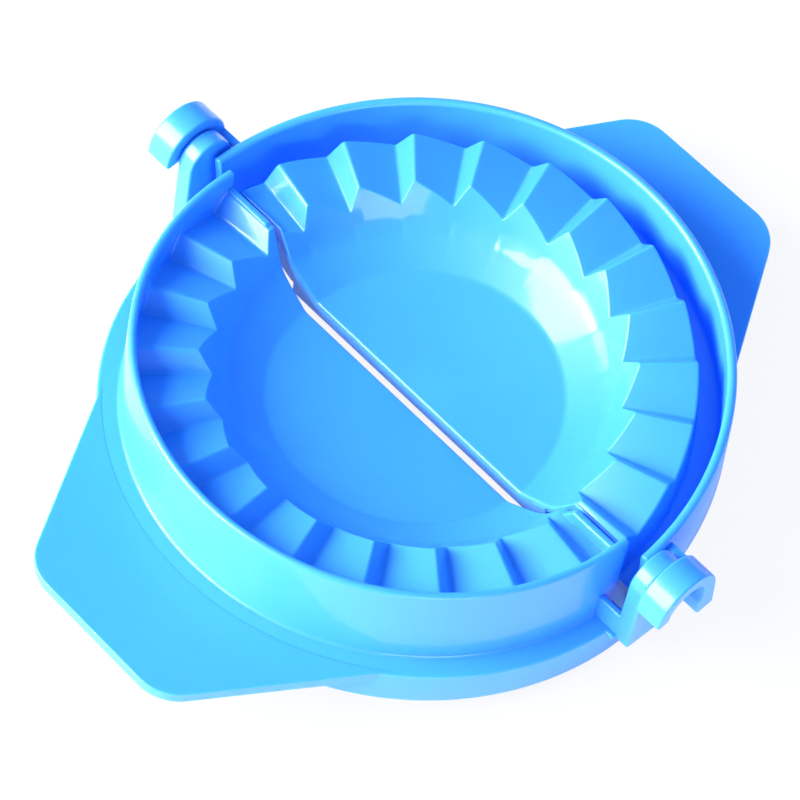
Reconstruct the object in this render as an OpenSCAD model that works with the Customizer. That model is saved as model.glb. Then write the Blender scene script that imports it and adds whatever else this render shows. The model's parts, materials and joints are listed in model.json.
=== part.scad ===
// Empanada press: two half rounds with pleating teeth, snapped together by a hinge at each end
// of the diameter and opened out nearly flat. The hinge line runs along X. The deep female half
// lies towards +Y and the male half, which folds up and over it, lies towards -Y.
// Sizes are in millimetres. Each half is drawn with the female rim at height zero, and the whole
// press is then moved so that its origin is the middle of its underside.

/* [Female rim] */
// Outer radius of the female outer wall
wall_r = 46.5; // [44:0.1:60]
// Thickness of the female outer wall
wall_t = 1.5; // [1:0.1:2.4]
// Height of the female outer wall, from its foot to the rim
wall_h = 13.4; // [12.5:0.1:18]
// Thickness of the floor of the channel behind the teeth
channel_t = 1.5; // [1:0.1:2.5]

/* [Bowl] */
// Radius of the flat floor of each half bowl
floor_r = 22; // [14:0.5:25]
// Depth of the bowl floor below the female rim
floor_depth = 11.2; // [9:0.1:12]
// Thickness of the bowl and of the toothed ring
shell_t = 1.5; // [1:0.1:2.2]
// Radius at which the bowl meets the tooth crests
crest_in_r = 32.4; // [30:0.1:35]
// Depth of the flange under the split edge of the female bowl
flange_h = 2.4; // [1.5:0.1:3.5]
// Lean of the split edge of the male bowl, which widens the gap at the floor, in degrees
male_lean = 14; // [0:0.5:16]

/* [Teeth] */
// Number of teeth on each half
teeth_n = 12; // [8:1:16]
// Outer radius of the female toothed ring
ring_r = 41.1; // [39:0.1:42]
// Depth of the tooth crests below the female rim
crest_depth = 2.05; // [1.2:0.05:3]
// Height of a tooth from valley to crest
tooth_h = 3.05; // [1.5:0.05:3.6]
// Angle over which a tooth drops from its crest, in degrees
drop_a = 3.6; // [2:0.1:5]
// Direction of the first female crest, in degrees from the hinge line
phase = 3.4; // [0:0.1:8]
// Thickness of the rib at each end of the male toothed ring
rib_t = 1.2; // [0.8:0.1:2]
// Depth of the top of those ribs below the hinge line
rib_drop = 0.2; // [0.1:0.05:0.8]
// Angle that the right rib takes from the row of male teeth, in degrees
rib_right_a = 2.3; // [0:0.1:3]
// Angle that the left rib takes from the row of male teeth, in degrees
rib_left_a = 1.5; // [0:0.1:3]

/* [Male rim] */
// Gap between the female toothed ring and the inside of the male rim
ring_gap = 0.5; // [0.3:0.05:1]
// Thickness of the male rim wall
male_rim_t = 1.4; // [1:0.1:2]
// Height of the male rim above the female rim
male_rise = 1.15; // [0:0.05:2]
// Depth of the male ledge below the female rim
ledge_depth = 14.05; // [13:0.05:17]
// Thickness of the male ledge
ledge_t = 1.6; // [1:0.1:2.2]

/* [Cutter rings] */
// Height of the whole press, from the cutting edges to the female rim
press_h = 20.6; // [19:0.1:26]
// Thickness of the cutting rings under both halves
skirt_t = 1.5; // [1:0.1:2.2]
// Step from the female outer wall in to the ring below it
skirt_step = 2; // [1.5:0.1:2.6]

/* [Handles] */
// Distance from the middle of the rim to the tip of each handle
handle_reach = 61.9; // [56:0.1:75]
// Width of a handle along its tip, before the corners are rounded
tip_w = 28.4; // [20:0.1:36]
// Widening of each side of a handle for every millimetre towards the bowl
handle_flare = 0.61; // [0.4:0.01:0.8]
// Radius of the two corners of a handle
corner_r = 7.4; // [4:0.1:10]
// Thickness of the handles
handle_t = 1.9; // [1.4:0.1:3]

/* [Hinge] */
// Gap for the dough between the meshed teeth when the press is shut
dough_gap = 3.75; // [3:0.05:4.5]
// Gap on each side of the line where the two halves meet when the press is laid flat
split_gap = 0.25; // [0.2:0.05:0.6]
// How far the hinge line is set from the middle of the rim, towards the female handle
hinge_y = 0.7; // [0:0.1:1]
// Angle of the male half above flat as the press stands open, in degrees
rest_a = 8.4; // [0:0.1:12]
// Radius of the hinge pins
pin_r = 3.5; // [3:0.05:3.8]
// Radial clearance between a pin and its hook
pin_clear = 0.05; // [0.03:0.01:0.1]
// Length of a pin inside its hook
pin_len = 2; // [1.5:0.1:3]
// Thickness of a hook round its bore
hook_t = 2.3; // [1.6:0.1:2.6]
// Length of a hook along the hinge line
hook_len = 4.6; // [3.6:0.1:6]
// Distance from the hinge line to the inner edge of the back arm's foot
mouth_y = 2.6; // [2:0.1:3]
// Radius of the rounded top of an ear
ear_r = 4.1; // [3.9:0.05:4.6]
// Thickness of an ear
ear_t = 2.9; // [2:0.1:3.4]
// Gap between the female outer wall and an ear
ear_gap = 0.5; // [0.4:0.05:1]
// Gap between an ear and the hook beside it
hook_gap = 0.3; // [0.2:0.05:0.5]
// Gap between an ear and the arm that passes it
arm_gap = 0.35; // [0.3:0.05:0.6]
// Thickness of the arm that carries a hook
arm_t = 1.4; // [1.2:0.1:2.4]
// Height of the arm that carries a hook
arm_h = 5.7; // [4:0.1:6.5]
// Height of the gusset between an ear and the male rim
gusset_h = 4.4; // [3:0.1:6]
// Thickness of that gusset
gusset_t = 1; // [0.8:0.1:1.6]
// Thickness of the tab that joins an ear to the ledge
tab_t = 0.9; // [0.8:0.1:1.5]
// How far that tab reaches beyond the ear, away from the hinge line
tab_over = 0.8; // [0.4:0.1:1.6]

/* [Hidden] */
$fn = 96;

female_blue = "deepskyblue";
male_blue = "dodgerblue";

pitch = 180 / teeth_n;

// Levels, measured from the female rim
crest_z = -crest_depth;
valley_z = crest_z - tooth_h;
seam_z = valley_z - 0.5;
ring_foot_z = valley_z - shell_t - 0.6;
channel_z = -wall_h + channel_t;
ledge_z = -ledge_depth;
base_z = -press_h;
// The hinge line lies so that the meshed teeth keep the dough gap between them
hinge_z = (crest_z + valley_z + dough_gap) / 2;
rib_z = hinge_z - rib_drop;

// Radii
male_in_r = ring_r + ring_gap;
male_out_r = male_in_r + male_rim_t;
skirt_r = wall_r;
female_skirt_r = wall_r - skirt_step;
bore_r = pin_r + pin_clear;
hook_r = bore_r + hook_t;

// The bowl side climbs from the floor with a gentle slope and meets the teeth with a steep one.
// Slopes are radius gained for every millimetre of height.
top_slope = 0.754;
foot_slope = 1.9;
seam_r = crest_in_r - top_slope * (crest_z - seam_z);
bend_z = (seam_r - top_slope * seam_z - floor_r - foot_slope * floor_depth) / (foot_slope - top_slope);
bend_r = floor_r + foot_slope * (bend_z + floor_depth);
// Width of the shell where the bowl stops and the toothed ring begins
seam_w = shell_t * sqrt(1 + top_slope * top_slope) * 0.98;

// Edges of the two halves on either side of the hinge line, outside the bowls
female_edge_y = hinge_y + split_gap;
male_edge_y = hinge_y - split_gap;
female_edge_a = asin(female_edge_y / seam_r);
male_edge_a = -asin(male_edge_y / seam_r);

// Places along the hinge line
ear_x = wall_r + ear_gap;
hook_x = ear_x + ear_t + hook_gap;
pin_end_x = hook_x + pin_len;
arm_y = ear_r + arm_gap;
back_y = arm_y + arm_t;

// Offset that brings the origin to the middle of the underside of the press as it stands
tip_low = ledge_z - handle_t - hinge_z;
male_tip_y = hinge_y - (handle_reach + hinge_y) * cos(rest_a) + tip_low * sin(rest_a);
origin_y = -(handle_reach + male_tip_y) / 2;

big = 3 * handle_reach;

// Moves the press from the female rim level to its own origin
module placed() {
    translate([0, origin_y, press_h])
        children();
}

// Turns the male half about the hinge line, from flat to the angle at which it stands
module male_placed() {
    placed()
        translate([0, hinge_y, hinge_z])
            rotate([-rest_a, 0, 0])
                translate([0, -hinge_y, -hinge_z])
                    children();
}

// Keeps what lies beyond an edge along the hinge line, on the female side or the male side
module half(side, edge_y) {
    intersection() {
        children();
        translate([-big, side > 0 ? edge_y : edge_y - big, -big])
            cube([2 * big, big, 2 * big]);
    }
}

// Ring on the Z axis between two radii and two levels
module ring(r_in, r_out, z_low, z_high) {
    rotate_extrude()
        translate([r_in, z_low])
            square([r_out - r_in, z_high - z_low]);
}

// Wall whose top edge is rounded over its full thickness
module lipped_wall(r_in, r_out, z_low, z_high) {
    lip = (r_out - r_in) / 2;
    outline = concat(
        [[r_in, z_low], [r_out, z_low]],
        [for (a = [0:20:180]) [r_in + lip + lip * cos(a), z_high - lip + lip * sin(a)]]
    );
    rotate_extrude()
        polygon(outline);
}

// Point on a curve that leaves a towards b and arrives at c from b
function bend(a, b, c, s) = (1 - s) * (1 - s) * a + 2 * s * (1 - s) * b + s * s * c;

// Inner side of the bowl, from its floor up to the toothed ring
bowl_side = [for (s = [0:0.125:1]) bend([floor_r, -floor_depth], [bend_r, bend_z], [seam_r, seam_z], s)];

// Outer side of the bowl, from the toothed ring down to the underside of its floor
bowl_outside = [for (s = [1:-0.125:0])
    bend([floor_r + 0.4 * shell_t, -floor_depth - shell_t],
         [bend_r + 0.75 * shell_t, bend_z - 0.55 * shell_t], [seam_r + seam_w, seam_z], s)];

// Half bowl: a flat floor and a side that steepens towards the toothed ring
module bowl() {
    rotate_extrude()
        polygon(concat([[0, -floor_depth]], bowl_side, bowl_outside, [[0, -floor_depth - shell_t]]));
}

// Flange that stiffens the female bowl along its split edge, from its underside down
module split_flange() {
    low_z = -floor_depth - shell_t;
    difference() {
        translate([-seam_r, split_gap, low_z - flange_h])
            cube([2 * seam_r, shell_t, flange_h - low_z + seam_z]);
        rotate_extrude()
            polygon(concat([[0, 0]], [[seam_r + seam_w, 0]], bowl_outside, [[0, low_z]]));
    }
}

// Cuts the male bowl along an edge that leans away from the female half towards the floor
module leaning_half() {
    intersection() {
        children();
        translate([0, -split_gap, seam_z])
            rotate([-male_lean, 0, 0])
                translate([-big, -big, -big])
                    cube([2 * big, big, 2 * big]);
    }
}

// Height of the female sawtooth at an angle: a slow climb to each crest, then a steep drop
function saw_z(a) =
    let (past = (a - phase) / pitch, part = pitch * (past - floor(past)))
    part < drop_a
        ? crest_z - tooth_h * part / drop_a
        : valley_z + tooth_h * (part - drop_a) / (pitch - drop_a);

// Height of the male sawtooth at the facing angle: a crest wherever the female has a valley
function facing_z(a) = crest_z + valley_z - saw_z(a);

// The male teeth close up a little to leave room for the end ribs: from an angle on the female
// half to the facing angle on the male half, and back
male_part = 1 - (rib_right_a + rib_left_a) / 180;
function male_angle(a) = rib_right_a + male_part * a;
function female_angle(a) = (a - rib_right_a) / male_part;

// Angles of the cross sections of a toothed ring: each crest, each valley and points between
saw_angles = [
    for (k = [-1:teeth_n], s = [0, drop_a, drop_a + (pitch - drop_a) / 3, drop_a + 2 * (pitch - drop_a) / 3])
        let (a = phase + k * pitch + s)
        if (a > female_edge_a + 0.5 && a < 179.5 - female_edge_a) a
];

// Cross section of the female ring, whose outer edge turns down towards the channel
function female_section(z) = [
    [seam_r, seam_z],
    [seam_r + top_slope * (z - seam_z), z],
    [ring_r, z],
    [ring_r, ring_foot_z],
    [ring_r - shell_t, ring_foot_z],
    [ring_r - shell_t, z - shell_t],
    [seam_r + top_slope * (z - seam_z) + seam_w + 0.1, z - shell_t],
    [seam_r + seam_w, seam_z]
];

// Cross section of the male ring, whose outer edge meets the inside of the male rim, with its
// underside lowered by a given depth where it serves as a cutter
function male_section(z, deep) = [
    [seam_r, seam_z],
    [seam_r + top_slope * (z - seam_z), z],
    [male_in_r, z],
    [male_in_r, z - shell_t - deep],
    [seam_r + top_slope * (z - seam_z) + seam_w + 0.1, z - shell_t - deep],
    [seam_r + seam_w, seam_z - deep]
];

// One cross section set at an angle round the Z axis
function turned(section, a) = [for (p = section) [p[0] * cos(a), p[0] * sin(a), p[1]]];

// One cross section laid in the plane of a split edge, at the right or the left end of the ring
function split_end(section, edge_y, side) =
    [for (p = section) [side * sqrt(p[0] * p[0] - edge_y * edge_y), edge_y, p[1]]];

// Sweeps a list of cross sections into one closed solid
module swept(rows) {
    m = len(rows[0]);
    n = len(rows);
    sides = [for (i = [0:n - 2], j = [0:m - 1]) let (a = i * m + j, b = i * m + (j + 1) % m)
        each [[a, a + m, b], [b, a + m, b + m]]];
    near_end = [for (j = [0:m - 1]) j];
    far_end = [for (j = [m - 1:-1:0]) (n - 1) * m + j];
    polyhedron(points = [for (row = rows) each row], faces = concat([near_end], sides, [far_end]));
}

// Outline of a handle: two straight sides that close in towards a tip with rounded corners
module handle_outline() {
    lean = atan(handle_flare);
    reach_off = (tip_w / 2 + handle_flare * handle_reach) * cos(lean);
    foot = [reach_off * cos(lean), reach_off * sin(lean)];
    corner_x = tip_w / 2 + handle_flare * corner_r - corner_r / cos(lean);
    corner_y = handle_reach - corner_r;
    corner = [for (a = [0:1:6]) let (b = lean + a * (90 - lean) / 6)
        [corner_x + corner_r * cos(b), corner_y + corner_r * sin(b)]];
    mirrored = [for (i = [6:-1:0]) [-corner[i][0], corner[i][1]]];
    polygon(concat([foot], corner, mirrored, [[-foot[0], foot[1]]]));
}

// Handle plate outside a given radius, with its top at a given level
module handle(root_r, top_z) {
    difference() {
        translate([0, 0, top_z - handle_t])
            linear_extrude(handle_t)
                handle_outline();
        translate([0, 0, top_z - 2 * handle_t])
            cylinder(r = root_r, h = 3 * handle_t, $fn = 180);
    }
}

// Lifts a drawing made in the plane across the hinge line and extrudes it along that line
module along_hinge(x, length) {
    translate([x, hinge_y, hinge_z])
        rotate([90, 0, 90])
            linear_extrude(length)
                children();
}

// Snap hook: an open ring with a short front arm and a longer, squarer back arm
module hook() {
    round_side = [for (a = [180:-10:20]) [hook_r * cos(a), hook_r * sin(a)]];
    square_side = [[back_y, 0.1 * hook_r], [back_y, -arm_h], [mouth_y, -arm_h]];
    difference() {
        along_hinge(hook_x, hook_len)
            polygon(concat(round_side, square_side, [[0, 0]]));
        translate([hook_x - 1, hinge_y, hinge_z])
            rotate([0, 90, 0])
                cylinder(r = bore_r, h = hook_len + 2);
    }
}

// Arm that carries a hook past the ear, from the female outer wall
module arm() {
    difference() {
        along_hinge(wall_r - wall_t, hook_x - wall_r + wall_t)
            translate([arm_y, -arm_h])
                square([arm_t, arm_h]);
        translate([0, 0, -big / 2])
            cylinder(r = wall_r, h = big, $fn = 180);
    }
}

// Ear: a tongue that stands beside the male ledge and is rounded round the hinge line
module ear() {
    foot = hinge_z - ledge_z + tab_t;
    along_hinge(ear_x, ear_t) {
        circle(r = ear_r);
        translate([-ear_r, -foot])
            square([2 * ear_r, foot]);
    }
}

// Gusset that ties an ear to the male rim: a web across the ledge, and a tab under it
module gusset() {
    under_z = ledge_z - tab_t;
    ear_back_y = hinge_y - ear_r;
    difference() {
        union() {
            translate([male_in_r, ear_back_y, under_z])
                cube([ear_x - male_in_r, gusset_t, tab_t + gusset_h]);
            translate([male_in_r, ear_back_y - tab_over, under_z])
                cube([ear_x - male_in_r, male_edge_y - ear_back_y + tab_over, tab_t]);
        }
        translate([0, 0, ledge_z])
            cylinder(r = male_out_r, h = gusset_h + 1, $fn = 180);
        translate([0, 0, under_z - 1])
            cylinder(r = skirt_r, h = tab_t + 1, $fn = 180);
    }
}

// Rib that stands on the toothed ring along the split, on one end of the male half. It stops
// just short of the faceted edges of the ring.
module end_rib(side) {
    back = 0.6;
    outer_r = male_in_r - back / 4;
    foot_x = seam_r + back;
    top_x = foot_x + top_slope * (rib_z - seam_z);
    difference() {
        intersection() {
            translate([0, rib_t - male_edge_y, 0])
                rotate([90, 0, 0])
                    linear_extrude(rib_t)
                        polygon([
                            [side * foot_x, seam_z], [side * top_x, rib_z],
                            [side * male_in_r, rib_z], [side * male_in_r, seam_z]
                        ]);
            cylinder(r = outer_r, h = big, center = true, $fn = 180);
        }
        swept(male_rows(2 * tooth_h));
    }
}

// Cross sections of the male ring, drawn on the +Y side
function male_rows(deep) = concat(
    [split_end(male_section(facing_z(female_angle(male_edge_a)), deep), -male_edge_y, 1)],
    [for (a = saw_angles) turned(male_section(facing_z(a), deep), male_angle(a))],
    [split_end(male_section(facing_z(female_angle(180 - male_edge_a)), deep), -male_edge_y, -1)]
);

// Pin that turns in a hook, standing out from the ear
module pin() {
    translate([ear_x + ear_t, hinge_y, hinge_z])
        rotate([0, 90, 0])
            cylinder(r = pin_r, h = pin_end_x - ear_x - ear_t);
}

module female_bowl() {
    color(female_blue) placed() half(1, split_gap) bowl();
}

module female_split_flange() {
    color(female_blue) placed() split_flange();
}

module female_teeth() {
    rows = concat(
        [split_end(female_section(saw_z(female_edge_a)), female_edge_y, 1)],
        [for (a = saw_angles) turned(female_section(saw_z(a)), a)],
        [split_end(female_section(saw_z(180 - female_edge_a)), female_edge_y, -1)]
    );
    color(female_blue) placed() swept(rows);
}

module female_channel() {
    color(female_blue) placed() half(1, female_edge_y) {
        ring(ring_r - shell_t, ring_r, -wall_h, ring_foot_z);
        ring(ring_r, wall_r - wall_t, -wall_h, channel_z);
    }
}

module female_outer_wall() {
    color(female_blue) placed() half(1, female_edge_y)
        lipped_wall(wall_r - wall_t, wall_r, -wall_h, 0);
}

module female_cutter_ring() {
    color(female_blue) placed() half(1, female_edge_y)
        ring(female_skirt_r - skirt_t, female_skirt_r, base_z, -wall_h);
}

module female_handle() {
    color(female_blue) placed() handle(female_skirt_r, -wall_h);
}

module female_hook_right() {
    color(female_blue) placed() hook();
}

module female_hook_left() {
    color(female_blue) placed() mirror([1, 0, 0]) hook();
}

module female_arm_right() {
    color(female_blue) placed() arm();
}

module female_arm_left() {
    color(female_blue) placed() mirror([1, 0, 0]) arm();
}

module male_bowl() {
    color(male_blue) male_placed() leaning_half() bowl();
}

module male_teeth() {
    color(male_blue) male_placed() mirror([0, 1, 0]) swept(male_rows(0));
}

module male_end_rib_right() {
    color(male_blue) male_placed() mirror([0, 1, 0]) end_rib(1);
}

module male_end_rib_left() {
    color(male_blue) male_placed() mirror([0, 1, 0]) end_rib(-1);
}

module male_rim() {
    color(male_blue) male_placed() half(-1, male_edge_y)
        lipped_wall(male_in_r, male_out_r, ledge_z, male_rise);
}

module male_ledge() {
    color(male_blue) male_placed() half(-1, male_edge_y)
        ring(male_in_r, skirt_r - skirt_t, ledge_z - ledge_t, ledge_z);
}

module male_cutter_ring() {
    color(male_blue) male_placed() half(-1, male_edge_y)
        ring(skirt_r - skirt_t, skirt_r, base_z, ledge_z);
}

module male_handle() {
    color(male_blue) male_placed() rotate([0, 0, 180]) handle(skirt_r, ledge_z);
}

module male_ear_right() {
    color(male_blue) male_placed() ear();
}

module male_ear_left() {
    color(male_blue) male_placed() mirror([1, 0, 0]) ear();
}

module male_gusset_right() {
    color(male_blue) male_placed() gusset();
}

module male_gusset_left() {
    color(male_blue) male_placed() mirror([1, 0, 0]) gusset();
}

module male_pin_right() {
    color(male_blue) male_placed() pin();
}

module male_pin_left() {
    color(male_blue) male_placed() mirror([1, 0, 0]) pin();
}

female_bowl();
female_split_flange();
female_teeth();
female_channel();
female_outer_wall();
female_cutter_ring();
female_handle();
female_hook_right();
female_hook_left();
female_arm_right();
female_arm_left();
male_bowl();
male_teeth();
male_end_rib_right();
male_end_rib_left();
male_rim();
male_ledge();
male_cutter_ring();
male_handle();
male_ear_right();
male_ear_left();
male_gusset_right();
male_gusset_left();
male_pin_right();
male_pin_left();
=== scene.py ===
import json
import math

import bmesh
import bpy
from mathutils import Matrix, Vector

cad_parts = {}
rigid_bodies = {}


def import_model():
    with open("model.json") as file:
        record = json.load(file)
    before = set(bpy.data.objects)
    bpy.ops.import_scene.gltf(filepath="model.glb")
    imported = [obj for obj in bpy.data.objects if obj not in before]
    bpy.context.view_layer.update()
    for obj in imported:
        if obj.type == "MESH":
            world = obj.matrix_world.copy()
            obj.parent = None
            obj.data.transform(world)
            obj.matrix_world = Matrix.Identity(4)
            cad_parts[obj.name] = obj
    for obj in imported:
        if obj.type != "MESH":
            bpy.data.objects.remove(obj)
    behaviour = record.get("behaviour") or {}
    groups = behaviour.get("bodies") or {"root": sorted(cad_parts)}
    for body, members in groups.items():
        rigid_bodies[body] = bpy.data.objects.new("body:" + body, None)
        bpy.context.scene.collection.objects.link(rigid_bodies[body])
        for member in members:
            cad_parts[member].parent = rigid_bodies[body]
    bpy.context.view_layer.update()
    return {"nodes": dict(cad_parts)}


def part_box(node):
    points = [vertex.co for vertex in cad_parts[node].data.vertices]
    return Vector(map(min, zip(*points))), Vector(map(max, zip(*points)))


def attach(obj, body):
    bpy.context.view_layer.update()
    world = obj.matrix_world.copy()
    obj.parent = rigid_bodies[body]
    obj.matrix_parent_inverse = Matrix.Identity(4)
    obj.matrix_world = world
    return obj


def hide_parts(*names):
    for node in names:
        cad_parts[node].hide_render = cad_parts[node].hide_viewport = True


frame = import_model()
print("frame loaded")

# everything is drawn in millimetres, with the rim of the deep half at height zero
mm = 0.001
press = {"footHeight": 20.6, "hingeY": 0.7, "hingeZ": -1.7, "restAngle": 8.4, "splitGap": 0.25,
         "handleReach": 61.9, "edgeRound": 0.25, "bowlRound": 0.5, "edgeSteps": 5}
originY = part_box("female_handle")[1][1] / mm - press["handleReach"]
tilt = math.radians(press["restAngle"])
sides = ((1, "Right"), (-1, "Left"))


# one point of a half in the frame, in metres; the male half is folded up a little about the hinge
def toFrame(x, y, z, half):
    if half == "male":
        out, up = y - press["hingeY"], z - press["hingeZ"]
        y = press["hingeY"] + out * math.cos(tilt) + up * math.sin(tilt)
        z = press["hingeZ"] - out * math.sin(tilt) + up * math.cos(tilt)
    return Vector((x, y + originY, z + press["footHeight"])) * mm


# rounds each corner (across, up, radius) of a closed outline; every call gives as many points.
# A rounding takes at most this share of a side, and a corner counts as at least this sharp.
def roundOutline(corners, steps=4, sideShare=0.46, leastAngle=0.05):
    points = []
    count = len(corners)
    for i, (r, z, radius) in enumerate(corners):
        here = Vector((r, z))
        if radius == 0:
            points.append(here)
            continue
        before = Vector(corners[i - 1][:2]) - here
        after = Vector(corners[(i + 1) % count][:2]) - here
        half = max(before.angle(after), leastAngle) / 2
        reach = min(radius / math.tan(half), sideShare * before.length, sideShare * after.length)
        radius = reach * math.tan(half)
        inward = (before.normalized() + after.normalized()).normalized()
        middle = here + inward * (radius / math.sin(half))
        start = here + before.normalized() * reach - middle
        end = here + after.normalized() * reach - middle
        turn = start.angle_signed(end, 0.0)
        for k in range(steps + 1):
            a = -turn * k / steps
            points.append(middle + Vector((start.x * math.cos(a) - start.y * math.sin(a),
                                           start.x * math.sin(a) + start.y * math.cos(a))))
    return points


# pulls an outline inwards, more over the bowl than outside it, to round the edges at the split
def shrinkOutline(points, part, leastMitre=0.5, tiny=1e-6):
    if part == 0:
        return points
    area = sum(a.x * b.y - b.x * a.y for a, b in zip(points, points[1:] + points[:1]))
    side = 1 if area > 0 else -1
    shrunk = []
    for i, p in enumerate(points):
        before = (p - points[i - 1]).normalized()
        after = (points[(i + 1) % len(points)] - p).normalized()
        along = before + after
        if along.length < tiny:
            shrunk.append(p)
            continue
        along.normalize()
        inward = Vector((-along.y, along.x)) * side
        mitre = max(leastMitre, math.sqrt((1 + before.dot(after)) / 2))
        shrunk.append(p + inward * (part * edgeRound(p.x)) / mitre)
    return shrunk


# makes a mesh object from points already in the frame
def meshPiece(name, points, faces, body, smoothAngle=35, weldDistance=1e-7):
    mesh = bpy.data.meshes.new(name)
    mesh.from_pydata([tuple(p) for p in points], [], faces)
    work = bmesh.new()
    work.from_mesh(mesh)
    bmesh.ops.remove_doubles(work, verts=work.verts, dist=weldDistance)
    bmesh.ops.recalc_face_normals(work, faces=work.faces)
    work.to_mesh(mesh)
    work.free()
    piece = bpy.data.objects.new(name, mesh)
    bpy.context.scene.collection.objects.link(piece)
    for polygon in mesh.polygons:
        polygon.use_smooth = True
    if smoothAngle:
        mesh.set_sharp_from_angle(angle=math.radians(smoothAngle))
    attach(piece, body)
    return piece


# 0 over a bowl, 1 further out, with a short run between
def outsideBowl(r):
    return min(1, max(0, (r - bowl["seamR"] + bowl["stepIn"]) / bowl["stepRun"]))


# distance of the split edge from the middle of the rim, for a point of an outline: both bowls lean
# towards the male side as they go down, and all further out stops at the hinge line
def edgeAt(half, r, z):
    out = press["splitGap"] + (press["hingeY"] if half == "female" else -press["hingeY"])
    lean = math.radians(bowl[half + "Lean"])
    bowlEdge = press["splitGap"] + max(0, bowl["seamZ"] - z) * math.tan(lean)
    return bowlEdge + (out - bowlEdge) * outsideBowl(r)


# radius of the rounding along the split edge, which is nearly full on the thin floor of a bowl
def edgeRound(r):
    extra = press["bowlRound"] - press["edgeRound"]
    return press["edgeRound"] + extra * (1 - outsideBowl(r))


# sweeps a changing outline round half a turn, from one side of the split to the other; each row
# is an angle, how far its end stands back from the split and how much the outline shrinks there
def sweepHalf(name, half, outlineAt, angles):
    side = -1 if half == "male" else 1
    steps = press["edgeSteps"]
    rows = []
    for k in range(steps):
        a = math.pi / 2 * k / steps
        rows.append((0, 1 - math.cos(a), 1 - math.sin(a)))
    rows.append((0, 1, 0))
    rows += [(a, 1, 0) for a in angles]
    rows += [(180, inset, shrink) for _, inset, shrink in reversed(rows[:steps + 1])]
    points = []
    for angle, inset, shrink in rows:
        outline = shrinkOutline(outlineAt(angle), shrink)
        for p in (outline[0], outline[-1]):
            p.x = edgeAt(half, 0, p.y) + inset * edgeRound(0)
        turn = math.radians(angle)
        for p in outline:
            edge = edgeAt(half, p.x, p.y) + inset * edgeRound(p.x)
            y = edge if angle in (0, 180) else max(p.x * math.sin(turn), edge)
            x = math.copysign(math.sqrt(max(0, p.x * p.x - y * y)), 90 - angle)
            points.append(toFrame(x, side * y, p.y, half))
    count = len(outline)
    faces = []
    for i in range(len(rows) - 1):
        for j in range(count):
            a, b = i * count + j, i * count + (j + 1) % count
            faces.append((a, b, b + count, a + count))
    faces.append(tuple(range(count)))
    faces.append(tuple(range((len(rows) - 1) * count, len(rows) * count)))
    return meshPiece(name, points, faces, half + "_half")


# a plate: an outline in one plane, with a thickness along the third axis and soft edges
def platePiece(name, half, outline, axis, low, high, soft):
    points = []
    for level in (low, high):
        for a, b in outline:
            x, y, z = {"x": (level, a, b), "y": (a, level, b), "z": (a, b, level)}[axis]
            points.append(toFrame(x, y, z, half))
    count = len(outline)
    faces = [tuple(range(count)), tuple(range(count, 2 * count))]
    faces += [(i, (i + 1) % count, (i + 1) % count + count, i + count) for i in range(count)]
    piece = meshPiece(name, points, faces, half + "_half", smoothAngle=0)
    bevel = piece.modifiers.new("softEdges", "BEVEL")
    bevel.width = soft * mm
    bevel.segments = 3
    bevel.limit_method = "ANGLE"
    bevel.angle_limit = math.radians(40)
    bevel.harden_normals = False
    weighted = piece.modifiers.new("evenShading", "WEIGHTED_NORMAL")
    weighted.keep_sharp = True
    return piece


# points along part of a circle, from one angle to another
def arc(centre, radius, start, end, count):
    turns = [math.radians(start + (end - start) * i / count) for i in range(count + 1)]
    return [(centre[0] + radius * math.cos(a), centre[1] + radius * math.sin(a)) for a in turns]


# the teeth that pleat the dough; rows of points stand close together at each crest and valley
teeth = {"count": 12, "firstCrest": 3.4, "dropAngle": 3.6, "crestZ": -2.05, "height": 3.05,
         "softAngle": 0.45, "softSteps": 4, "maleFirst": 8.0, "malePitch": 15.55, "edgeAngle": 1.2,
         "rows": (-0.6, -0.35, -0.12, 0.12, 0.35, 0.6, 1.2, 1.8, 2.4, 3.0, 3.25, 3.48, 3.72, 3.95,
                  4.2, 5.2, 6.6, 8.0, 9.4, 10.8, 12.2, 13.4)}
pitch = 180 / teeth["count"]


# sawtooth height at one angle: a slow climb to the crest and a steep drop
def sawHeight(angle):
    part = (angle - teeth["firstCrest"]) % pitch
    if part < teeth["dropAngle"]:
        return teeth["crestZ"] - teeth["height"] * part / teeth["dropAngle"]
    climb = (part - teeth["dropAngle"]) / (pitch - teeth["dropAngle"])
    return teeth["crestZ"] - teeth["height"] * (1 - climb)


# the same with its crests and valleys slightly rounded, as they come out of a mould
def softSaw(angle):
    steps = teeth["softSteps"]
    spread = [k / steps * teeth["softAngle"] for k in range(-steps, steps + 1)]
    return sum(sawHeight(angle + s) for s in spread) / len(spread)


# the male teeth stand a little further apart than the female ones: a female angle on the male half
def maleAngle(angle):
    past = angle - teeth["firstCrest"] - teeth["dropAngle"]
    return teeth["maleFirst"] + past * teeth["malePitch"] / pitch


# height on the male half, which has its crests where the female half has its valleys
def facingSaw(angle):
    past = (angle - teeth["maleFirst"]) * pitch / teeth["malePitch"]
    facing = teeth["firstCrest"] + teeth["dropAngle"] + past
    return 2 * teeth["crestZ"] - teeth["height"] - softSaw(facing)


sawAngles = []
for tooth in range(-1, teeth["count"] + 1):
    crest = teeth["firstCrest"] + tooth * pitch
    for offset in teeth["rows"]:
        if teeth["edgeAngle"] < crest + offset < 180 - teeth["edgeAngle"]:
            sawAngles.append(crest + offset)

# the inside of both bowls: a flat floor, a side that steepens twice and a slope up to the teeth
bowl = {"flatR": 8, "floorR": 22, "floorZ": -11.2, "bendR": 28.24, "bendZ": -7.92, "seamR": 29.72,
        "seamZ": -5.6, "topSlope": 0.754, "shell": 1.5, "femaleLean": -5.6, "maleLean": 8.5,
        "floorRound": 2.2, "bendRound": 9, "seamRound": 0.45, "stepIn": 0.4, "stepRun": 1.2}
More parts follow.
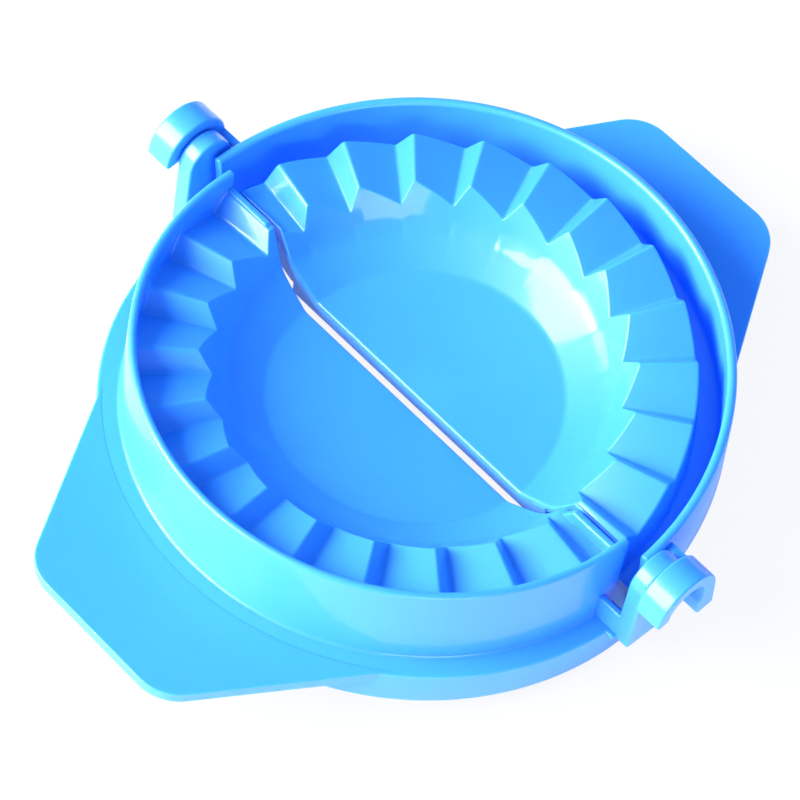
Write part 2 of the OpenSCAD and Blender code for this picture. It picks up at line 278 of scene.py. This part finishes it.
# its underside: how far each corner stands out and down, as shares of the wall thickness
bowlBack = {"slant": 0.98, "bendOut": 0.75, "bendDown": 0.55, "floorOut": 0.4,
            "seamRound": 0.6, "bendRound": 6, "floorRound": 1.5}
slant = bowl["shell"] * math.hypot(1, bowl["topSlope"]) * bowlBack["slant"]
bowlUnderZ = bowl["floorZ"] - bowl["shell"]


# radius at which the slope reaches a height
def slopeR(z):
    return bowl["seamR"] + bowl["topSlope"] * (z - bowl["seamZ"])


def bowlTop(z):
    return [(0, bowl["floorZ"], 0), (bowl["flatR"], bowl["floorZ"], 0),
            (bowl["floorR"], bowl["floorZ"], bowl["floorRound"]),
            (bowl["bendR"], bowl["bendZ"], bowl["bendRound"]), (slopeR(z), z, bowl["seamRound"])]


def bowlUnder(z):
    bendR = bowl["bendR"] + bowlBack["bendOut"] * bowl["shell"]
    bendZ = bowl["bendZ"] - bowlBack["bendDown"] * bowl["shell"]
    floorR = bowl["floorR"] + bowlBack["floorOut"] * bowl["shell"]
    return [(slopeR(z) + slant, z - bowl["shell"], bowlBack["seamRound"]),
            (bendR, bendZ, bowlBack["bendRound"]), (floorR, bowlUnderZ, bowlBack["floorRound"]),
            (bowl["flatR"], bowlUnderZ, 0), (0, bowlUnderZ, 0)]


# female half: teeth, the channel behind them, the tall wall, and the cutting ring underneath
female = {"ringR": 41.1, "channelZ": -11.9, "wallR": 46.5, "wallThick": 1.5, "footZ": -13.4,
          "footR": 46.3, "skirtR": 44.5, "skirtThick": 1.4, "taper": 0.1, "crestRound": 0.4,
          "wallRound": 0.7, "footRound": 0.35, "skirtRound": 0.3, "backRound": 0.4,
          "underRound": 0.5}


def femaleOutline(angle):
    z = softSaw(angle)
    wallIn = female["wallR"] - female["wallThick"]
    skirtIn = female["skirtR"] - female["skirtThick"]
    ringIn = female["ringR"] - bowl["shell"]
    corners = bowlTop(z) + [
        (female["ringR"], z, female["crestRound"]),
        (female["ringR"], female["channelZ"], female["wallRound"]),
        (wallIn, female["channelZ"], female["wallRound"]),
        (wallIn, 0, female["wallRound"]),
        (female["wallR"], 0, female["wallRound"]),
        (female["footR"], female["footZ"], female["footRound"]),
        (female["skirtR"], female["footZ"], female["skirtRound"]),
        (female["skirtR"] - female["taper"], -press["footHeight"], female["footRound"]),
        (skirtIn, -press["footHeight"], female["footRound"]),
        (skirtIn - female["taper"], female["footZ"], female["backRound"]),
        (ringIn, female["footZ"], female["backRound"]),
        (ringIn, z - bowl["shell"], female["underRound"])] + bowlUnder(z)
    return roundOutline(corners)


femaleShell = sweepHalf("femaleShell", "female", femaleOutline, sawAngles)
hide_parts("female_bowl", "female_teeth", "female_channel", "female_outer_wall",
            "female_cutter_ring")

# the thin wall under the split: a middle part just behind the bowl's edge, and two wings further
# back that follow the rise of the bowl out to the teeth
flange = {"depth": 1.95, "thick": 1.5, "front": -0.26, "halfLength": 29.4, "endRun": 1.6,
          "wing": 34.5, "wingZ": -6.75, "wingDrop": 4.5, "wingRootZ": -7.0, "soft": 0.3,
          "rise": ((22.3, bowlUnderZ + 0.75), (25.26, -10.2), (27.4, -8.7))}
# webs that close both ends of the cutting ring
ringEnd = {"inR": 39.7, "outR": 44.3, "topZ": -13.2, "footZ": -20.4}
flangeFoot = bowlUnderZ - flange["depth"]
rise = list(flange["rise"])
flangeShape = rise + [(flange["halfLength"] - flange["endRun"], flangeFoot)]
flangeShape += [(-x, z) for x, z in reversed(flangeShape)]
splitFlange = platePiece("femaleSplitFlange", "female", flangeShape, "y", flange["front"],
                         flange["front"] + flange["thick"], flange["soft"])
wingOutline = rise + [
    (flange["halfLength"], flange["wingRootZ"]), (flange["wing"], flange["wingZ"]),
    (flange["wing"], flange["wingZ"] - flange["wingDrop"]), (flange["halfLength"], flangeFoot),
    (rise[0][0], flangeFoot)]
endOutline = [(ringEnd["inR"], ringEnd["topZ"]), (ringEnd["outR"], ringEnd["topZ"]),
              (ringEnd["outR"], ringEnd["footZ"]), (ringEnd["inR"], ringEnd["footZ"])]
front = press["hingeY"] + press["splitGap"]
for side, word in sides:
    for name, outline in (("femaleFlangeWing", wingOutline), ("femaleRingEnd", endOutline)):
        platePiece(name + word, "female", [(side * x, z) for x, z in outline], "y",
                   front, front + flange["thick"], flange["soft"])
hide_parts("female_split_flange")
print("female shell made")

# male half: teeth, the rim that closes into the channel, the ledge and the cutting ring
male = {"rimInR": 41.6, "rimOutR": 42.85, "rimFootR": 43.1, "rimZ": 1.15, "ledgeZ": -14.05,
        "ledgeThick": 1.6, "skirtR": 46.5, "skirtThick": 1.4, "taper": 0.1, "crestRound": 0.5,
        "rimRound": 0.6, "ledgeRound": 0.4, "footRound": 0.35, "underRound": 0.5}


def maleOutline(angle):
    z = facingSaw(angle)
    skirtIn = male["skirtR"] - male["skirtThick"]
    ledgeUnder = male["ledgeZ"] - male["ledgeThick"]
    corners = bowlTop(z) + [
        (male["rimInR"], z, male["crestRound"]),
        (male["rimInR"], male["rimZ"], male["rimRound"]),
        (male["rimOutR"], male["rimZ"], male["rimRound"]),
        (male["rimFootR"], male["ledgeZ"], male["rimRound"]),
        (male["skirtR"], male["ledgeZ"], male["ledgeRound"]),
        (male["skirtR"] - male["taper"], -press["footHeight"], male["footRound"]),
        (skirtIn, -press["footHeight"], male["footRound"]),
        (skirtIn - male["taper"], ledgeUnder, male["ledgeRound"]),
        (male["rimInR"], ledgeUnder, male["ledgeRound"]),
        (male["rimInR"], z - bowl["shell"], male["underRound"])] + bowlUnder(z)
    return roundOutline(corners)


maleAngles = [maleAngle(a) for a in sawAngles if maleAngle(a) < 180 - teeth["edgeAngle"]]
maleShell = sweepHalf("maleShell", "male", maleOutline, maleAngles)
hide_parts("male_bowl", "male_teeth", "male_rim", "male_ledge", "male_cutter_ring")
print("male shell made")

# ribs on the split edge that end the ring of teeth
endRib = {"topZ": -1.9, "thick": 1.2, "inR": 33.1, "outR": 41.8, "rootZ": -4.9, "rootRun": 2.2,
          "soft": 0.35}
near = press["hingeY"] - press["splitGap"]
for side, word in sides:
    shape = [(side * (endRib["inR"] - endRib["rootRun"]), endRib["rootZ"]),
             (side * endRib["inR"], endRib["topZ"]), (side * endRib["outR"], endRib["topZ"]),
             (side * endRib["outR"], endRib["rootZ"])]
    rib = platePiece("maleEndRib" + word, "male", shape, "y", near - endRib["thick"], near,
                     endRib["soft"])
    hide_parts("male_end_rib_" + word.lower())

# handles: the root radii lie inside the walls that they grow from
handle = {"tipWidth": 28.4, "flare": 0.61, "cornerR": 7.4, "thick": 1.9, "soft": 0.45,
          "femaleRootR": 44.0, "maleRootR": 45.6, "femaleSink": 0.01, "maleLift": 0.03}


# sides that close in towards a tip with rounded corners; the root follows the round wall
def handleOutline(side, rootR):
    lean = math.atan(handle["flare"])
    halfTip = handle["tipWidth"] / 2
    off = (halfTip + handle["flare"] * press["handleReach"]) * math.cos(lean)
    foot = (off * math.cos(lean), off * math.sin(lean))
    centre = (halfTip + handle["flare"] * handle["cornerR"] - handle["cornerR"] / math.cos(lean),
              press["handleReach"] - handle["cornerR"])
    corner = arc(centre, handle["cornerR"], math.degrees(lean), 90, 10)
    across = math.hypot(*foot)
    turn = math.degrees(math.acos(min(1, across / rootR))) if rootR > across else 0
    footTurn = math.degrees(lean) + turn
    root = arc((0, 0), rootR, 180 - footTurn, footTurn, 40)
    return [(x, side * y) for x, y in corner + [(-x, y) for x, y in reversed(corner)] + root]


femaleHandle = platePiece(
    "femaleHandle", "female", handleOutline(1, handle["femaleRootR"]), "z",
    female["footZ"] - handle["thick"], female["footZ"] - handle["femaleSink"], handle["soft"])
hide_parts("female_handle")
maleHandle = platePiece(
    "maleHandle", "male", handleOutline(-1, handle["maleRootR"]), "z",
    male["ledgeZ"] - handle["thick"], male["ledgeZ"] + handle["maleLift"], handle["soft"])
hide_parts("male_handle")
print("handles made")

# hinge: hooks on arms hold the pins of the ears, which webs and tabs tie to the male half
hook = {"x": 50.2, "length": 4.6, "outR": 5.85, "boreR": 3.55, "lipAngle": 8, "mouthY": 2.6,
        "soft": 0.35}
arm = {"y": 4.45, "thick": 1.4, "drop": 5.7, "inX": 45.6, "over": 0.6, "soft": 0.3}
ear = {"x": 47.0, "thick": 2.9, "r": 4.1, "soft": 0.4}
gusset = {"inX": 42.6, "topInX": 42.3, "over": 0.5, "thick": 1.0, "height": 4.4, "sunk": 0.4,
          "soft": 0.25}
tab = {"inX": 45.6, "thick": 0.9, "over": 0.8, "lift": 0.02, "soft": 0.3}
pin = {"r": 3.5, "endX": 52.2, "sunk": 0.5, "sides": 48, "soft": 0.3}


# moves a drawing made round the hinge line to its place across the press
def acrossHinge(points):
    return [(y + press["hingeY"], z + press["hingeZ"]) for y, z in points]


# from and to along the hinge line, smaller value first
def span(side, first, last):
    return sorted((side * first, side * last))


armBack = arm["y"] + arm["thick"]
hookOuter = arc((0, 0), hook["outR"], 180, hook["lipAngle"], 36)
hookOuter += [(armBack, 0), (armBack, -arm["drop"]), (hook["mouthY"], -arm["drop"])]
mouthTurn = math.degrees(math.acos(hook["mouthY"] / hook["boreR"]))
hookShape = acrossHinge(hookOuter + arc((0, 0), hook["boreR"], -mouthTurn, 180, 40))
armShape = acrossHinge([(arm["y"], -arm["drop"]), (armBack, -arm["drop"]), (armBack, 0),
                        (arm["y"], 0)])

earFoot = male["ledgeZ"] - tab["thick"]
earShape = arc((0, 0), ear["r"], 180, 0, 28)
earShape += [(ear["r"], earFoot - press["hingeZ"]), (-ear["r"], earFoot - press["hingeZ"])]
earShape = acrossHinge(earShape)
earBack = press["hingeY"] - ear["r"]
webEnd = ear["x"] + gusset["over"]
webFoot = male["ledgeZ"] - gusset["sunk"]
webTop = male["ledgeZ"] + gusset["height"]
webOutline = [(gusset["inX"], webFoot), (webEnd, webFoot), (webEnd, webTop),
              (gusset["topInX"], webTop)]
tabFar = earBack - tab["over"]
tabOutline = [(tab["inX"], near), (webEnd, near), (webEnd, tabFar), (tab["inX"], tabFar)]
pinShape = acrossHinge(arc((0, 0), pin["r"], 0, 360 - 360 / pin["sides"], pin["sides"] - 1))

for side, word in sides:
    femaleHook = platePiece("femaleHook" + word, "female", hookShape, "x",
                            *span(side, hook["x"], hook["x"] + hook["length"]), hook["soft"])
    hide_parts("female_hook_" + word.lower())
    femaleArm = platePiece("femaleArm" + word, "female", armShape, "x",
                           *span(side, arm["inX"], hook["x"] + arm["over"]), arm["soft"])
    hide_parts("female_arm_" + word.lower())

    maleEar = platePiece("maleEar" + word, "male", earShape, "x",
                         *span(side, ear["x"], ear["x"] + ear["thick"]), ear["soft"])
    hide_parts("male_ear_" + word.lower())
    maleGusset = platePiece("maleGusset" + word, "male", [(side * x, z) for x, z in webOutline],
                            "y", earBack, earBack + gusset["thick"], gusset["soft"])
    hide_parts("male_gusset_" + word.lower())
    platePiece("maleLedgeTab" + word, "male", [(side * x, y) for x, y in tabOutline], "z",
               earFoot, male["ledgeZ"] + tab["lift"], tab["soft"])
    malePin = platePiece("malePin" + word, "male", pinShape, "x",
                         *span(side, ear["x"] + ear["thick"] - pin["sunk"], pin["endX"]),
                         pin["soft"])
    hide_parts("male_pin_" + word.lower())
print("hinge made")


# a colour written in sRGB, as linear light
def linear(code):
    values = [int(code[i:i + 2], 16) / 255 for i in (1, 3, 5)]
    return tuple(v / 12.92 if v <= 0.04045 else ((v + 0.055) / 1.055) ** 2.4 for v in values) + (1,)


# adds a shader node; settings name an input by word or number, or else a property of the node
def addNode(tree, kind, settings=None, links=None):
    node = tree.nodes.new(kind)
    for key, value in (settings or {}).items():
        if isinstance(key, int) or key in node.inputs:
            node.inputs[key].default_value = value
        else:
            setattr(node, key, value)
    for key, source in (links or {}).items():
        tree.links.new(source, node.inputs[key])
    return node


# sizes of the clouds and the ripple are in metres
plastic = {"deep": "#41a0fa", "pale": "#4ba9ff", "cloud": 0.030, "ripple": 0.004,
           "rippleDepth": 0.0002, "smooth": 0.36, "rough": 0.44, "ior": 1.49}


# polypropylene, injection moulded in a polished mould: a soft sheen under a clear sharp gloss with
# a very slight ripple, a little light passing through thin edges, and faint paler clouds where the
# melt flowed
def mouldedPolypropylene(name):
    material = bpy.data.materials.new(name)
    material.use_nodes = True
    tree = material.node_tree
    tree.nodes.clear()
    place = addNode(tree, "ShaderNodeTexCoord").outputs["Object"]
    cloud = addNode(tree, "ShaderNodeTexNoise",
                    {"Scale": 1 / plastic["cloud"], "Detail": 2.0, "Roughness": 0.5},
                    {"Vector": place}).outputs["Fac"]
    tint = addNode(tree, "ShaderNodeMix",
                   {"data_type": "RGBA", 6: linear(plastic["deep"]), 7: linear(plastic["pale"])},
                   {"Factor": cloud})
    gloss = addNode(tree, "ShaderNodeMapRange",
                    {"To Min": plastic["smooth"], "To Max": plastic["rough"]}, {"Value": cloud})
    ripple = addNode(tree, "ShaderNodeTexNoise", {"Scale": 1 / plastic["ripple"], "Detail": 1.0},
                     {"Vector": place})
    bump = addNode(tree, "ShaderNodeBump", {"Strength": 0.12, "Distance": plastic["rippleDepth"]},
                   {"Height": ripple.outputs["Fac"]})
    shader = addNode(tree, "ShaderNodeBsdfPrincipled",
                     {"IOR": plastic["ior"], "Coat Weight": 0.7, "Coat Roughness": 0.09,
                      "Coat IOR": plastic["ior"], "Subsurface Weight": 0.4,
                      "Subsurface Scale": 0.002, "Subsurface Radius": (0.4, 0.8, 1.0)},
                     {"Base Color": tint.outputs[2], "Roughness": gloss.outputs["Result"],
                      "Normal": bump.outputs["Normal"]})
    addNode(tree, "ShaderNodeOutputMaterial", {}, {"Surface": shader.outputs["BSDF"]})
    return material


plastics = {"female": mouldedPolypropylene("femalePolypropylene"),
            "male": mouldedPolypropylene("malePolypropylene")}
for piece in list(bpy.context.scene.objects):
    if piece.type == "MESH" and piece.name.startswith(("female", "male")) and "_" not in piece.name:
        half = "female" if piece.name.startswith("female") else "male"
        piece.data.materials.clear()
        piece.data.materials.append(plastics[half])
for name, node in frame["nodes"].items():
    for slot in node.material_slots:
        slot.material = plastics["female" if name.startswith("female") else "male"]
print("materials made")

# board painted matt white, overexposed: it looks evenly white, takes a faint blue shade beside the
# part and shows weakly in the gloss
board = {"reach": 1.5, "paint": "#f4f5f6", "seenGlow": 0.9, "mirroredGlow": 0.35}
reach = board["reach"]
floorMesh = bpy.data.meshes.new("floor")
floorMesh.from_pydata([(-reach, -reach, 0), (reach, -reach, 0), (reach, reach, 0),
                       (-reach, reach, 0)], [], [(0, 1, 2, 3)])
floor = bpy.data.objects.new("floor", floorMesh)
bpy.context.scene.collection.objects.link(floor)
floorMaterial = bpy.data.materials.new("whitePaintedBoard")
floorMaterial.use_nodes = True
tree = floorMaterial.node_tree
tree.nodes.clear()
diffuse = addNode(tree, "ShaderNodeBsdfDiffuse", {"Color": linear(board["paint"])})
glow = addNode(tree, "ShaderNodeEmission", {"Color": linear("#ffffff"), "Strength": 1.0})
path = addNode(tree, "ShaderNodeLightPath")
seen = addNode(tree, "ShaderNodeMath", {"operation": "MULTIPLY", 1: board["seenGlow"]},
               {0: path.outputs["Is Camera Ray"]})
mirrored = addNode(tree, "ShaderNodeMath", {"operation": "MULTIPLY", 1: board["mirroredGlow"]},
                   {0: path.outputs["Is Glossy Ray"]})
share = addNode(tree, "ShaderNodeMath", {"operation": "MAXIMUM"},
                {0: seen.outputs[0], 1: mirrored.outputs[0]})
surface = addNode(tree, "ShaderNodeMixShader", {},
                  {0: share.outputs[0], 1: diffuse.outputs[0], 2: glow.outputs[0]})
addNode(tree, "ShaderNodeOutputMaterial", {}, {"Surface": surface.outputs[0]})
floorMesh.materials.append(floorMaterial)

# blue light from all round, which keeps the shaded sides of the plastic a clear blue
world = bpy.data.worlds.new("studio")
bpy.context.scene.world = world
world.use_nodes = True
background = world.node_tree.nodes["Background"]
background.inputs["Color"].default_value = linear("#6fb4ff")
background.inputs["Strength"].default_value = 0.8

# soft boxes, in metres and watts; the key stands where the bowl mirrors it towards the camera
lamps = {
    "key": {"at": (-0.44, -0.70, 0.62), "size": 0.75, "power": 25},
    "low": {"at": (-0.70, -0.60, 0.25), "size": 0.5, "power": 6},
    "fill": {"at": (0.85, -0.50, 0.17), "size": 0.5, "power": 3.5},
}
aim = Vector((0, 0, 0.01))
for name, facts in lamps.items():
    light = bpy.data.lights.new(name, "AREA")
    light.size = facts["size"]
    light.energy = facts["power"]
    lamp = bpy.data.objects.new(name, light)
    lamp.location = facts["at"]
    lamp.rotation_euler = (aim - Vector(facts["at"])).to_track_quat("-Z", "Y").to_euler()
    bpy.context.scene.collection.objects.link(lamp)

# the camera that the outlines in the photograph give: a long lens, looking down at about 59
# degrees; lengths are in pixels of a picture 800 wide, the distance in millimetres
shot = {"azimuth": 44.82, "elevation": 58.98, "roll": 2.59, "distance": 547.65, "pixels": 3748.6,
        "centre": (419.73, 356.97), "width": 800, "sensor": 36, "clipStart": 0.01}
az, el, roll = (math.radians(shot[key]) for key in ("azimuth", "elevation", "roll"))
towards = Vector((math.sin(az) * math.cos(el), -math.cos(az) * math.cos(el), math.sin(el)))
level = Vector((math.cos(az), math.sin(az), 0))
upright = Vector((-math.sin(az) * math.sin(el), math.cos(az) * math.sin(el), math.cos(el)))
right = math.cos(roll) * level + math.sin(roll) * upright
upward = -math.sin(roll) * level + math.cos(roll) * upright
shiftX, shiftY = ((shot["width"] / 2 - c) / shot["pixels"] for c in shot["centre"])
back = -(-towards + right * shiftX - upward * shiftY).normalized()
right = (right - back * right.dot(back)).normalized()
upward = back.cross(right)
cameraData = bpy.data.cameras.new("camera")
cameraData.sensor_width = shot["sensor"]
cameraData.lens = shot["pixels"] / shot["width"] * shot["sensor"]
cameraData.clip_start = shot["clipStart"]
camera = bpy.data.objects.new("camera", cameraData)
stand = toFrame(*(towards * shot["distance"]), "female")
camera.matrix_world = Matrix(((right.x, upward.x, back.x, stand.x),
                              (right.y, upward.y, back.y, stand.y),
                              (right.z, upward.z, back.z, stand.z), (0, 0, 0, 1)))
bpy.context.scene.collection.objects.link(camera)
bpy.context.scene.camera = camera
bpy.context.scene.view_settings.view_transform = "Standard"
print("camera and lights set")
